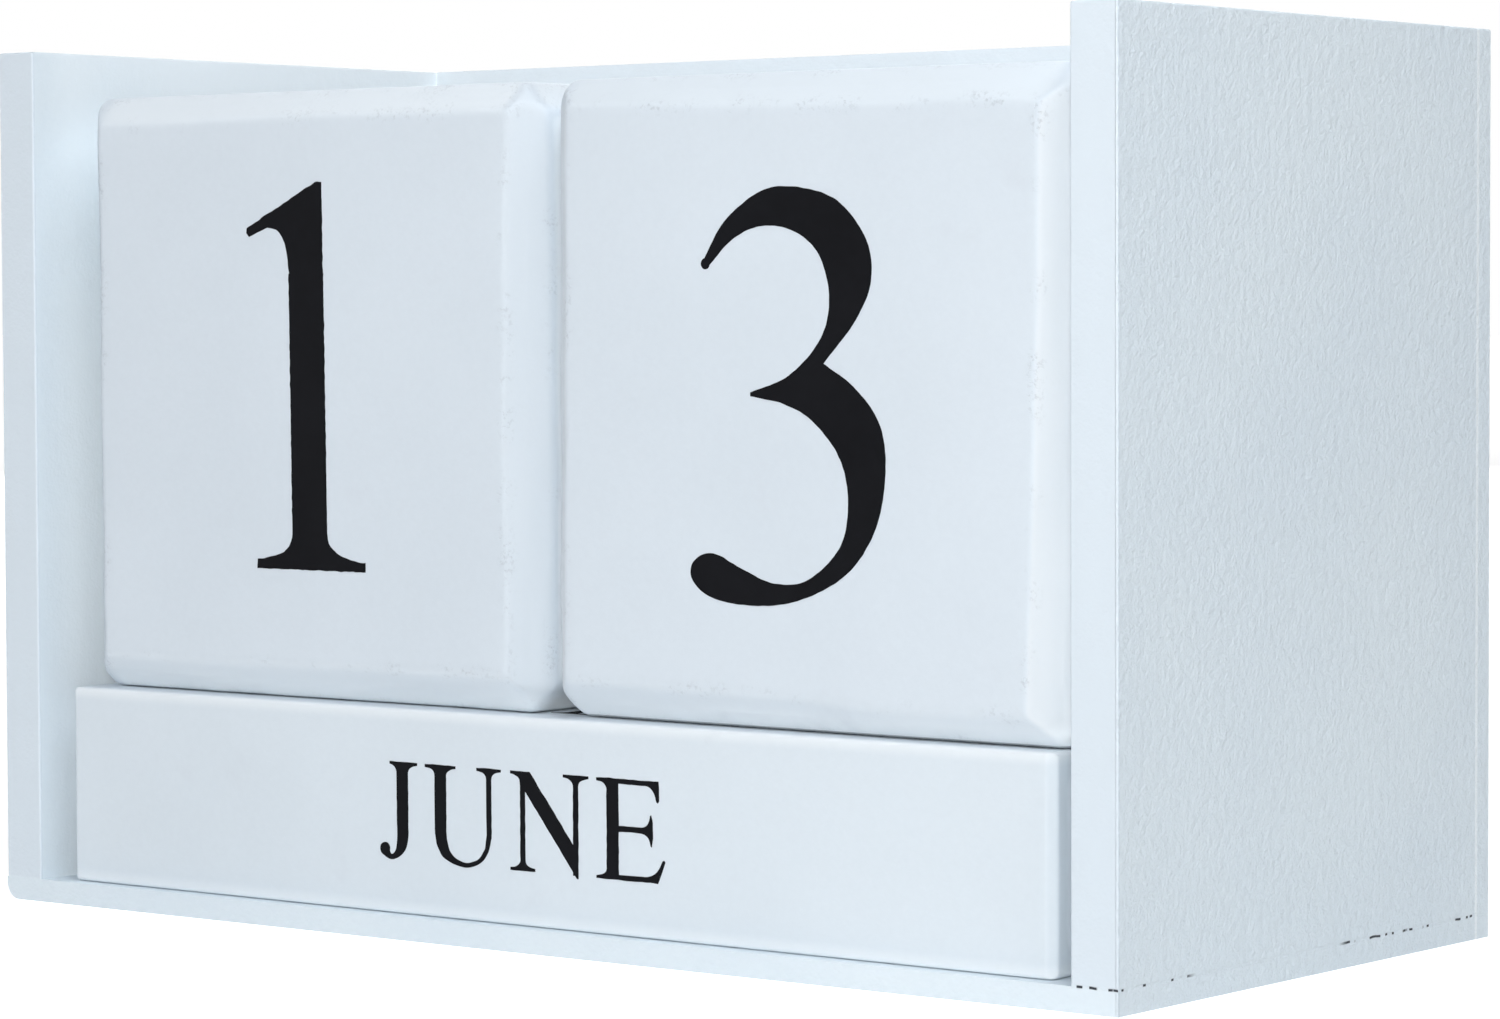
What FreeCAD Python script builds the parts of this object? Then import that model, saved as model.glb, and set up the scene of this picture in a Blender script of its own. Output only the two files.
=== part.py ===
"""Perpetual block calendar: an open tray of four boards, two number cubes and three month bars.

Millimetres, +Z up, +X to the viewer's right, +Y to the back. The origin is the middle of the
footprint on the table. Each piece is its own solid and its own file in parts/.
"""
import FreeCAD, Part
import os

Vector = FreeCAD.Vector

# Tray
TRAY_WIDTH = 150.0
TRAY_DEPTH = 70.0
TRAY_HEIGHT = 95.0
SIDE_THICKNESS = 5.4
BASE_THICKNESS = 2.5
BACK_THICKNESS = 2.6
BASE_LEFT_ROUND = 1.8
PANEL_ARRIS = 0.25

# Number cubes
CUBE_EDGE = 65.5
CUBE_BEVEL = 3.4
CUBE_SOFTENING = 0.6
CUBE_SETBACK = 1.4
LEFT_CUBE_GAP = 6.0
RIGHT_CUBE_GAP = 0.8

# Month bars
BAR_SECTION = 21.8
BAR_ARRIS = 0.5
BAR_LEFT_GAP = 3.8
BAR_RIGHT_GAP = 2.9
BAR_SETBACK = 1.5
BAR_SPACING = 0.15
BAR_NAMES = ("month_bar_front", "month_bar_middle", "month_bar_rear")

# Two coordinates closer than this are the same place
SAME = 1e-4

LEFT = -TRAY_WIDTH / 2
RIGHT = TRAY_WIDTH / 2
FRONT = -TRAY_DEPTH / 2
BACK = TRAY_DEPTH / 2
BAR_TOP = BASE_THICKNESS + BAR_SECTION


def box(x0, x1, y0, y1, z0, z1):
    """A box between two opposite corners."""
    return Part.makeBox(x1 - x0, y1 - y0, z1 - z0, Vector(x0, y0, z0))


def edges_where(solid, test):
    """The edges of a solid whose two end points both pass the test."""
    chosen = []
    for edge in solid.Edges:
        if all(test(vertex.Point) for vertex in edge.Vertexes):
            chosen.append(edge)
    return chosen


def runs_along(edge, direction):
    """True for a straight edge parallel to a direction."""
    start, end = edge.Vertexes[0].Point, edge.Vertexes[-1].Point
    along = end.sub(start)
    return along.cross(direction).Length < SAME


def base_board():
    """Thin board under the whole footprint, with one lower edge rounded over."""
    board = box(LEFT, RIGHT, FRONT, BACK, 0, BASE_THICKNESS)
    lower_left = edges_where(board, lambda p: p.x < LEFT + SAME and p.z < SAME)
    return board.makeFillet(BASE_LEFT_ROUND, lower_left)


def side_panel(outer_x, inner_x):
    """Upright side board that stands on the base board, its front and top arrises eased."""
    x0, x1 = min(outer_x, inner_x), max(outer_x, inner_x)
    board = box(x0, x1, FRONT, BACK, BASE_THICKNESS, TRAY_HEIGHT)
    front = [e for e in edges_where(board, lambda p: p.y < FRONT + SAME)
             if runs_along(e, Vector(0, 0, 1))]
    top = edges_where(board, lambda p: p.z > TRAY_HEIGHT - SAME)
    return board.makeFillet(PANEL_ARRIS, front + top)


def back_panel():
    """Thin board held between the side boards, flush with the back of the tray."""
    return box(LEFT + SIDE_THICKNESS, RIGHT - SIDE_THICKNESS,
               BACK - BACK_THICKNESS, BACK, BASE_THICKNESS, TRAY_HEIGHT)


def number_cube(x0):
    """Cube with all twelve edges bevelled and the bevels' own edges softened."""
    y0 = FRONT + CUBE_SETBACK
    block = box(x0, x0 + CUBE_EDGE, y0, y0 + CUBE_EDGE, BAR_TOP, BAR_TOP + CUBE_EDGE)
    bevelled = block.makeChamfer(CUBE_BEVEL, block.Edges)
    return bevelled.makeFillet(CUBE_SOFTENING, bevelled.Edges)


def month_bar(order):
    """Square bar with all its edges eased; order 0 is the front one."""
    x0 = LEFT + SIDE_THICKNESS + BAR_LEFT_GAP
    x1 = RIGHT - SIDE_THICKNESS - BAR_RIGHT_GAP
    y0 = FRONT + BAR_SETBACK + order * (BAR_SECTION + BAR_SPACING)
    bar = box(x0, x1, y0, y0 + BAR_SECTION, BASE_THICKNESS, BAR_TOP)
    return bar.makeFillet(BAR_ARRIS, bar.Edges)


def build():
    """All pieces by node name."""
    pieces = {
        "base_board": base_board(),
        "left_side_panel": side_panel(LEFT, LEFT + SIDE_THICKNESS),
        "right_side_panel": side_panel(RIGHT, RIGHT - SIDE_THICKNESS),
        "back_panel": back_panel(),
        "left_number_cube": number_cube(LEFT + SIDE_THICKNESS + LEFT_CUBE_GAP),
        "right_number_cube": number_cube(RIGHT - SIDE_THICKNESS - RIGHT_CUBE_GAP - CUBE_EDGE),
    }
    for order, name in enumerate(BAR_NAMES):
        pieces[name] = month_bar(order)
    return pieces


os.makedirs("parts", exist_ok=True)
for node, shape in build().items():
    if not shape.isValid() or len(shape.Solids) != 1:
        raise ValueError("bad solid: " + node)
    shape.exportStep("parts/" + node + ".step")
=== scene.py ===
import math

import bpy
from mathutils import Matrix, Vector, noise
from mathutils.geometry import delaunay_2d_cdt


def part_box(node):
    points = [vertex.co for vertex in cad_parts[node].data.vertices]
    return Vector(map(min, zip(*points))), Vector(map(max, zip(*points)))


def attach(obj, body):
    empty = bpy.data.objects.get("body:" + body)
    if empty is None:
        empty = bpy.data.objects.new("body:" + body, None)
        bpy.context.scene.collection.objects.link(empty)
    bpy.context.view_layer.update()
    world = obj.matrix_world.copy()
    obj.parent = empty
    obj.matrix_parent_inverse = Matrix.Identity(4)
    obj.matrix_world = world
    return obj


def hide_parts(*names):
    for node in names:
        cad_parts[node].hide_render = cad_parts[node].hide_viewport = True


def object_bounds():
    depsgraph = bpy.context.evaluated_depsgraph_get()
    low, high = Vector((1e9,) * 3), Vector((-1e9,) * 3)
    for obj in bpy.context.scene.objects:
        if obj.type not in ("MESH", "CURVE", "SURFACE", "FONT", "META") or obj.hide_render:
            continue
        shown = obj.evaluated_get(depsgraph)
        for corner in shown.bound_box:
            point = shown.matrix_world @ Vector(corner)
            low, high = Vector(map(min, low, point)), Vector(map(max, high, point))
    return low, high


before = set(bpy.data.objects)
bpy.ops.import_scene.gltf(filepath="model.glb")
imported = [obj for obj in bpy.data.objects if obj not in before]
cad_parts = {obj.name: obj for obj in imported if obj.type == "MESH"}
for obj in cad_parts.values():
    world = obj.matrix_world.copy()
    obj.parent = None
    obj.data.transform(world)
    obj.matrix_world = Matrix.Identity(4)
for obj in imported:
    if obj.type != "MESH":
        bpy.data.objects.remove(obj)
FRAME_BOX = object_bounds()

MM = 0.001

# Where the solids' faces lie, m
FRONT_EDGE = FRAME_BOX[0][1] + 0.02 * MM        # just behind the boards' front edges
SIDE_INNER, SIDE_OUTER = (corner.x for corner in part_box("right_side_panel"))
BACK_INNER, BACK_OUTER = (corner.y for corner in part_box("back_panel"))
BASE_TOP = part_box("base_board")[1].z
CUBE_FOOT, CUBE_TOP = (corner.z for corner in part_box("left_number_cube"))
BAR_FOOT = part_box("month_bar_front")[0].z

# ---------------------------------------------------------------- node trees


def math_method(operation, other_first=False):
    """A method that adds one Math node on its own value and any others."""
    def method(self, *others):
        values = others + (self,) if other_first else (self,) + others
        return self.tree.node("ShaderNodeMath", {"operation": operation}, dict(enumerate(values)))
    return method


class Value:
    """A value in a node tree. Sums on it add the Math nodes that work them out."""

    def __init__(self, tree, socket):
        self.tree = tree
        self.socket = socket

    __add__ = __radd__ = math_method("ADD")
    __sub__ = math_method("SUBTRACT")
    __rsub__ = math_method("SUBTRACT", other_first=True)
    __mul__ = __rmul__ = math_method("MULTIPLY")
    __truediv__ = math_method("DIVIDE")
    __rtruediv__ = math_method("DIVIDE", other_first=True)
    __pow__ = math_method("POWER")
    __abs__ = math_method("ABSOLUTE")
    sign = math_method("SIGN")
    at_least = math_method("MAXIMUM")
    at_most = math_method("MINIMUM")

    def between(self, low, high):
        """0 below low, 1 above high and a smooth step between them."""
        settings = {"interpolation_type": "SMOOTHSTEP"}
        limits = {0: self, 1: low, 2: high, 3: 0.0, 4: 1.0}
        return self.tree.node("ShaderNodeMapRange", settings, limits)

    def parts(self):
        """The three numbers of a vector."""
        split = self.tree.make("ShaderNodeSeparateXYZ", {}, {0: self})
        return [Value(self.tree, socket) for socket in split.outputs]


class Tree:
    """A shader or geometry node tree that is written as Python expressions."""

    def __init__(self, tree):
        self.tree = tree
        self.tree.nodes.clear()

    def make(self, kind, settings, inputs):
        """Adds a node, sets it up, and then fills or links its sockets."""
        node = self.tree.nodes.new(kind)
        for name, setting in settings.items():
            setattr(node, name, setting)
        for key, value in inputs.items():
            if isinstance(value, Value):
                self.tree.links.new(value.socket, node.inputs[key])
            else:
                node.inputs[key].default_value = value
        return node

    def node(self, kind, settings=None, inputs=None, output=0):
        """Adds a node and gives one of its outputs."""
        return Value(self, self.make(kind, settings or {}, inputs or {}).outputs[output])

    def vector(self, x, y, z):
        """A vector from three numbers."""
        return self.node("ShaderNodeCombineXYZ", {}, {0: x, 1: y, 2: z})

    def vector_math(self, operation, *values):
        """Adds a node that works on whole vectors."""
        inputs = dict(enumerate(values))
        if operation == "SCALE":
            inputs["Scale"] = inputs.pop(1)
        return self.node("ShaderNodeVectorMath", {"operation": operation}, inputs)

    def noise(self, place, size, detail=2.0, roughness=0.5, output=0):
        """Noise whose blotches are about size metres across."""
        inputs = {"Vector": place, "Scale": 1 / size, "Detail": detail, "Roughness": roughness}
        return self.node("ShaderNodeTexNoise", {}, inputs, output)

    def mix(self, factor, first, second):
        """A colour between two colours."""
        inputs = {0: factor, 6: first, 7: second}
        return self.node("ShaderNodeMix", {"data_type": "RGBA"}, inputs, 2)


# ----------------------------------------------------------------- materials
# Lengths are in metres. A pair of limits says where a mask starts to rise and where it is full.

CLOUD_SIZE = 35 * MM    # broad soft clouds in the paint
GRAIN_SIZE = 0.9 * MM   # bristle marks
CLOUD_SHARE = 0.72      # the clouds' share of the light and shade; the grain has the rest
NAP_RATIO = 0.3         # size of the fine nap beside that of the peel it lies on
NAP_HEIGHT = 0.35       # and its height beside the peel's

JOINT_LIMITS = (69.0 * MM, 69.5 * MM)           # in x, by the right-hand board's outer face
FRONT_CORNER_LIMITS = (-34.8 * MM, -33 * MM)    # in y: the crack opens less behind the front edge
SEAM_LIMITS = (0.05 * MM, 0.22 * MM)            # off the joint: the dent over it
SEAM_DEPTH = 0.07 * MM
CRACK_LIMITS = (0.07 * MM, 0.17 * MM)           # off the joint: the crack in it
CRACK_DEPTH = 0.1 * MM
CRACK_WANDER = 0.35 * MM                        # how far the joint's line strays up and down
CRACK_FRONT_END = (-23.5 * MM, -21.5 * MM)      # in y: the crack's front stretch ends,
CRACK_BACK_START = (4.5 * MM, 6.5 * MM)         # its back stretch starts
CRACK_BACK_END = (31.5 * MM, 32.5 * MM)         # and ends

FRONT_SHADE_DEPTH = 0.1 * MM               # the front edges' painted shade ends this far behind them
INSIDE_LIGHT_DEPTH = 7 * MM              # the inner faces' painted light, against the shade in the tray, is full this far behind the front
HIGH_LIMITS = (55 * MM, 85 * MM)    # in z: high up, the painted light is weaker
DEEP_LIMITS = (FRONT_EDGE + 10 * MM, FRONT_EDGE + 25 * MM)      # in y: unless this far back

LOW_FLAT_LIMITS = (CUBE_FOOT + 3.5 * MM, CUBE_FOOT + 5 * MM)    # in z: above the low flats, which take less of the flats' painted light
HEAD_LIMITS = (CUBE_TOP - 4 * MM, CUBE_TOP - 2 * MM)            # in z: a cube's head
BAR_TOP_LIMITS = (CUBE_FOOT - 1.6 * MM, CUBE_FOOT - 0.2 * MM)   # in z: a bar's top edges
BAR_FOOT_LIMITS = (BAR_FOOT + 0.2 * MM, BAR_FOOT + 1.8 * MM)    # in z: above its foot
FOOT_SHADOW_LIMITS = (CUBE_FOOT + 0.2 * MM, CUBE_FOOT + 0.38 * MM)    # in z: above the painted shadow line at a cube's foot
LIT_FOOT = 3.2 * MM   # height of the strip at a cube's foot that is painted lighter, painted light against the shade by the bar
SHADE_DROP = 5          # how much darker a block's paint is in its clouds, of 255
PIT_DEPTH = 0.06 * MM
BREAK_DEPTH = 0.08 * MM
INK_GRAIN_DEPTH = 0.02 * MM


def colour(red, green, blue):
    """A linear colour from its ordinary 0 to 255 values."""
    row = []
    for part in (red, green, blue):
        c = part / 255
        row.append(c / 12.92 if c <= 0.04045 else ((c + 0.055) / 1.055) ** 2.4)
    return (*row, 1.0)


def new_material(name):
    """An empty material, its tree, and the place of the point that is painted."""
    material = bpy.data.materials.new(name)
    material.use_nodes = True
    tree = Tree(material.node_tree)
    place = tree.node("ShaderNodeTexCoord", output="Object")
    return material, tree, place


def finish_material(tree, base, roughness, relief, strength=0.6, extra=None):
    """Joins colour, roughness and relief, a height in metres, in one surface."""
    heights = {"Strength": strength, "Distance": 1.0, "Height": relief}
    bump = tree.node("ShaderNodeBump", {}, heights)
    inputs = {"Base Color": base, "Roughness": roughness, "Normal": bump}
    shader = tree.node("ShaderNodeBsdfPrincipled", {}, {**inputs, **(extra or {})})
    tree.make("ShaderNodeOutputMaterial", {}, {"Surface": shader})


def brushed_paint(tree, place, light, shade, peel_size, peel_depth):
    """The painted skin that boards and blocks share: its colour, its bump height and its clouds."""
    cloud = tree.noise(place, CLOUD_SIZE, 3.0, 0.55)
    grain = tree.noise(place, GRAIN_SIZE, 2.0, 0.6)
    blend = CLOUD_SHARE * cloud.between(0.3, 0.7) + (1 - CLOUD_SHARE) * grain.between(0.25, 0.75)
    skin = tree.mix(blend, shade, light)
    peel = tree.noise(place, peel_size, 2.0, 0.55)
    nap = tree.noise(place, peel_size * NAP_RATIO, 1.0, 0.5)
    height = (peel + NAP_HEIGHT * nap) * peel_depth
    return skin, height, cloud


def specks(tree, place, spacing, size, share):
    """A mask of few small dots: pits and dust that dried into the paint."""
    cells = {"Vector": place, "Scale": 1 / spacing, "Randomness": 1.0}
    distance = tree.node("ShaderNodeTexVoronoi", {}, cells, "Distance")
    chance = tree.node("ShaderNodeTexVoronoi", {}, cells, "Color").parts()[0]
    dot = 1 - distance.between(0.4 * size / spacing, size / spacing)
    return dot * chance.between(1 - share, 1 - share + 0.001)


def on_face(coordinate, face):
    """A mask of the plane where a coordinate has one value."""
    return 1 - abs(coordinate - face).between(0.2 * MM, 0.3 * MM)


def base_joint(tree, place):
    """Masks of the joint under the right-hand board: the dent all along it, and the dashes where
    the paint over it cracked open."""
    x, y, z = place.parts()
    wander = tree.noise(place, 2.5 * MM, 2.0, 0.6) - 0.5
    off_joint = abs(z - BASE_TOP + wander * CRACK_WANDER)
    joint = x.between(*JOINT_LIMITS)
    seam = (1 - off_joint.between(*SEAM_LIMITS)) * joint
    along = tree.vector(x, y, 0.0)
    beside = y.between(*FRONT_CORNER_LIMITS)
    dashes = (tree.noise(along, 1.3 * MM, 1.0, 0.5) - beside * 0.07).between(0.49, 0.53)
    near_front = 1 - y.between(*CRACK_FRONT_END)
    near_back = y.between(*CRACK_BACK_START) * (1 - y.between(*CRACK_BACK_END))
    open_line = 1 - off_joint.between(*CRACK_LIMITS)
    return seam, open_line * dashes * (near_front + near_back) * joint


def inside_light_mask(x, y, z):
    """A mask of painted light on the boards' inner faces, against the shade in the tray, weaker
    towards the front and high up near it.
    """
    sides = on_face(abs(x), SIDE_INNER) * y.between(FRONT_EDGE, FRONT_EDGE + INSIDE_LIGHT_DEPTH)
    high_front = z.between(*HIGH_LIMITS) * (1 - y.between(*DEEP_LIMITS))
    return (sides * (1 - 0.4 * high_front)).at_least(on_face(y, BACK_INNER) * 0.8)


def front_arrises(x, y):
    """A mask of the side boards' front arrises, where painted shade covers their highlight."""
    corners = on_face(abs(x), SIDE_INNER).at_least(on_face(abs(x), SIDE_OUTER))
    behind = y.between(FRONT_EDGE + 0.15 * MM, FRONT_EDGE + 0.3 * MM)
    return corners * (1 - behind) * y.between(FRONT_EDGE, FRONT_EDGE + 0.05 * MM)


def tray_paint():
    """Cool white satin paint on the boards: pebbled by the roller outside and smooth inside, and
    cracked open along the base joint under the right-hand board. The inner faces are painted
    lighter, painted light against the shade in the tray; the front arrises and front edges are
    painted darker, painted shade against their highlight and the strong light on them."""
    material, tree, place = new_material("tray_paint")
    light, shade = colour(225, 236, 243), colour(219, 231, 240)
    skin, height, cloud = brushed_paint(tree, place, light, shade, 1.0 * MM, 0.3 * MM)
    x, y, z = place.parts()
    rolled = on_face(abs(x), SIDE_OUTER).at_least(on_face(y, BACK_OUTER))
    seam, crack = base_joint(tree, place)
    dirt = crack.at_least(specks(tree, place, 12 * MM, 0.22 * MM, 0.16) * 0.6)
    above_base = z.between(BASE_TOP, BASE_TOP + 0.3 * MM)
    # painted shade: the boards' front edges are painted darker, to tone down the light on them
    front_shade = (1 - y.between(FRONT_EDGE, FRONT_EDGE + FRONT_SHADE_DEPTH)) * above_base
    # painted light: the inner faces are painted lighter, against the shade that falls in the tray
    painted_light = tree.mix(inside_light_mask(x, y, z), skin, colour(242, 250, 255))
    # painted shade: the front arrises are painted darker to hide their highlight
    arris_shaded = tree.mix(front_arrises(x, y) * 0.8, painted_light, colour(203, 215, 226))
    front_shaded = tree.mix(front_shade, arris_shaded, colour(217, 228, 237))
    base = tree.mix(dirt, front_shaded, colour(44, 48, 56))
    relief = height * (0.4 + 0.75 * rolled) - dirt * CRACK_DEPTH - seam * SEAM_DEPTH
    finish_material(tree, base, 0.5 + 0.1 * cloud + 0.25 * dirt, relief)
    return material


# What the shaping of a block leaves for its paint, as numbers from 0 to 1 on its mesh: how far a
# place is on a sanded flat, on an upright flat or corner, and on an end face.
MARKS = ("sanded", "on_uprights", "ended")


def block_paint(name, tones, end_light_limits, foot_shadow):
    """A thinner, duller white on one block, with light and shade painted in. tones gives its
    colours on the faces, on the level edge flats, painted light, on the upright flats and corners,
    painted light and shade, and on the end faces before and behind the given limits in y, painted
    light against the shade between the blocks. It is painted lighter at a cube's foot and along a
    bar's long edges, painted light against the shade there, and coarse where the sanding broke
    through at the rims. A cube can have a dark line right along its foot, a painted shadow of the
    gap under it."""
    material, tree, place = new_material(name)
    light = colour(*tones["face"])
    shade = colour(*(part - SHADE_DROP for part in tones["face"]))
    skin, height, cloud = brushed_paint(tree, place, light, shade, 1.5 * MM, 0.04 * MM)
    _, y, z = place.parts()
    sanded, on_uprights, ended = (
        tree.node("ShaderNodeAttribute", {"attribute_name": mark}, output="Fac")
        for mark in MARKS)
    on_flat = sanded.between(0.3, 0.7)
    on_cube = z.between(CUBE_FOOT - 0.1 * MM, CUBE_FOOT)

    # painted light: the level edge flats take the lighter flat tone for how light falls on them,
    # the low flats less of it
    level_flat_light = on_flat * (0.36 + 0.44 * z.between(*LOW_FLAT_LIMITS))
    level_flat_light = level_flat_light * (1 - on_uprights.between(0.2, 0.45))
    lit_level_flats = tree.mix(level_flat_light, skin, colour(*tones["flat"]))
    # painted light and shade: the upright flats and corners get a tone of their own, darker or
    # lighter for how the light falls on them
    upright_light_and_shade = on_uprights.between(0.42, 0.6) * (1 - 0.35 * z.between(*HEAD_LIMITS))
    upright_toned = tree.mix(upright_light_and_shade * (0.75 + 0.25 * cloud), lit_level_flats, colour(*tones["upright"]))
    # painted light: the end faces are painted lighter, more so deeper in, against the shade between
    # the blocks and the boards
    end_painted_light = tree.mix(y.between(*end_light_limits), colour(*tones["end"]), colour(*tones["deep_end"]))
    with_end_light = tree.mix(ended.between(0.5, 0.8), upright_toned, end_painted_light)

    # painted light: the bars' long edges are painted lighter, against the shade under the cubes and
    # by the base
    bar_edge_light = z.between(*BAR_TOP_LIMITS).at_least(1 - z.between(*BAR_FOOT_LIMITS))
    thick = tree.mix(bar_edge_light * (1 - on_cube) * 0.6, with_end_light, colour(240, 246, 250))
    # painted light: the low flats at a cube's foot are painted lighter, against the shade by the
    # bar
    low = on_flat * on_cube * (1 - z.between(CUBE_FOOT, CUBE_FOOT + LIT_FOOT))
    painted_light = tree.mix(low, thick, colour(242, 249, 254))

    smudge = tree.noise(place, 11 * MM, 4.0, 0.65).between(0.58, 0.8)
    stained = tree.mix(smudge * 0.3, painted_light, colour(206, 213, 222))
    crease = (1 - abs(sanded * 2 - 1)).between(0.25, 0.85)
    crumbs = tree.noise(place, 0.45 * MM, 2.0, 0.6).between(0.5, 0.7)
    broken = crease * crumbs * tree.noise(place, 5 * MM, 2.0, 0.6).between(0.42, 0.7)
    pits = specks(tree, place, 14 * MM, 0.2 * MM, 0.14)
    worn = tree.mix((pits * 0.5).at_least(broken * 0.22), stained, colour(118, 124, 134))
    # painted shadow: a dark line along a cube's foot stands for the shadow in the gap above the bar
    foot = on_cube * on_flat * (1 - z.between(*FOOT_SHADOW_LIMITS))
    base = tree.mix(foot * foot_shadow, worn, colour(40, 44, 52))
    relief = height - pits * PIT_DEPTH - broken * BREAK_DEPTH
    finish_material(tree, base, 0.55 + 0.12 * cloud, relief)
    return material


def printing_ink():
    """Blue-black printing ink, a little uneven where it sank into the paint."""
    material, tree, place = new_material("printing_ink")
    soak = tree.noise(place, 1.4 * MM, 3.0, 0.6)
    blot = tree.noise(place, 9 * MM, 2.0, 0.5)
    blend = 0.5 * soak.between(0.3, 0.75) + 0.5 * blot.between(0.3, 0.7)
    base = tree.mix(blend, colour(9, 10, 14), colour(17, 18, 22))
    relief = soak * INK_GRAIN_DEPTH
    finish_material(tree, base, 0.6 + 0.15 * soak, relief, 0.5, {"Specular IOR Level": 0.08})
    return material


# -------------------------------------------------- sanded blocks, by one tree

INNER_SHARE = 0.25      # share of the grid's lines that lie inside the rim, where all is flat
DRIFT_SIZE = 12 * MM    # length over which the width of a flat strays
INK_RECESS = 0.05 * MM  # the blocks' faces lie this far inside their full size, under the ink


def sanded_block_tree():
    """A box whose twelve edges are sanded off to their own widths and its corners rounded down.

    Each point is pushed along a ray from a smaller inner box to the nearest of the box's faces,
    edge flats and corner flats. Crispness says how sharply these meet.
    """
    group = bpy.data.node_groups.new("sanded_block", "GeometryNodeTree")
    sockets = {}
    for name, kind in (("Geometry", "Geometry"), ("Half Size", "Vector"), ("Rim", "Float"),
                       ("Level", "Int"), ("Crispness", "Float"), ("Corner Cut", "Float"),
                       ("Waver", "Float"), ("Seed", "Float"), ("Material", "Material")):
        item = group.interface.new_socket(name, in_out="INPUT", socket_type="NodeSocket" + kind)
        sockets[name] = item.identifier
    group.interface.new_socket("Geometry", in_out="OUTPUT", socket_type="NodeSocketGeometry")
    tree = Tree(group)
    entry = tree.make("NodeGroupInput", {}, {})
    given = {name: Value(tree, entry.outputs[name]) for name in sockets}
    box = given["Geometry"]
    rim, crispness = given["Rim"], given["Crispness"]
    half = given["Half Size"].parts()

    grid = tree.node("GeometryNodeSubdivideMesh", {}, {"Mesh": box, "Level": given["Level"]})
    place = tree.node("GeometryNodeInputPosition").parts()

    # The grid's lines crowd into the rim, where the edges are shaped.
    spread = []
    for p, h in zip(place, half):
        step, edge = abs(p) / h, rim / h
        inner = (step / INNER_SHARE).at_most(1.0) * (1 - edge)
        outer = (step - INNER_SHARE).at_least(0.0) / (1 - INNER_SHARE) * edge
        spread.append(p.sign() * (inner + outer) * h)
    spot = tree.vector(*spread)

    core = [p.at_most(h - rim).at_least(rim - h) for p, h in zip(spread, half)]
    ray = tree.vector_math("NORMALIZE", tree.vector(*[p - c for p, c in zip(spread, core)]))
    steep = [abs(d) for d in ray.parts()]
    room = [h - abs(c) for h, c in zip(half, core)]

    named = tree.node("GeometryNodeInputNamedAttribute", {"data_type": "FLOAT_VECTOR"},
                      {"Name": "edge_width"})
    widths = tree.node("GeometryNodeSampleNearestSurface", {"data_type": "FLOAT_VECTOR"},
                       {"Mesh": box, "Value": named, "Sample Position": spot})
    shifted = tree.vector_math("ADD", spot, tree.vector(given["Seed"], 0.0, 0.0))
    drift = tree.noise(shifted, DRIFT_SIZE, 2.0, 0.5, "Color").parts()
    widths = [w * (1 + given["Waver"] * (n - 0.5)) for w, n in zip(widths.parts(), drift)]

    # How hard each plane holds the surface in: the three faces, then the flats and the corner.
    holds = [(steep[axis] * rim / room[axis]) ** crispness for axis in range(3)]
    faces = holds[0] + holds[1] + holds[2]
    pulls = []
    for axis in range(3):
        one, two = (axis + 1) % 3, (axis + 2) % 3
        slant = (steep[one] + steep[two]) * rim
        pulls.append((slant / (room[one] + room[two] - widths[axis])) ** crispness)
    corner_room = room[0] + room[1] + room[2]
    corner_room = corner_room - (widths[0] + widths[1] + widths[2]) * given["Corner Cut"]
    corner = ((steep[0] + steep[1] + steep[2]) * rim / corner_room) ** crispness
    flats = pulls[0] + pulls[1] + pulls[2] + corner
    reach = rim * (faces + flats) ** (-1 / crispness)

    # The marks for the paint compare some planes' pull with that of all others, which is kept off
    # zero. The root widens the steps between them.
    marked = grid
    for name, pull in zip(MARKS, (flats, pulls[2] + corner, holds[0])):
        ratio = (pull / (faces + flats - pull + 0.0001)) ** 0.25
        mark = {"Geometry": marked, "Name": name, "Value": ratio / (ratio + 1)}
        kind = {"data_type": "FLOAT", "domain": "POINT"}
        marked = tree.node("GeometryNodeStoreNamedAttribute", kind, mark)
    surface = tree.vector_math("ADD", tree.vector(*core), tree.vector_math("SCALE", ray, reach))
    shaped = tree.node("GeometryNodeSetPosition", {}, {"Geometry": marked, "Position": surface})
    smooth = tree.node("GeometryNodeSetShadeSmooth", {}, {"Geometry": shaped})
    real = tree.node("GeometryNodeRealizeInstances", {}, {"Geometry": smooth})
    coat = {"Geometry": real, "Material": given["Material"]}
    painted = tree.node("GeometryNodeSetMaterial", {}, coat)
    tree.make("NodeGroupOutput", {}, {"Geometry": painted})
    return group, sockets


CORNERS = [(x, y, z) for z in (-1, 1) for y in (-1, 1) for x in (-1, 1)]
BOX_FACES = [(0, 2, 3, 1), (4, 5, 7, 6), (0, 1, 5, 4), (2, 6, 7, 3), (0, 4, 6, 2), (1, 3, 7, 5)]


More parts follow.
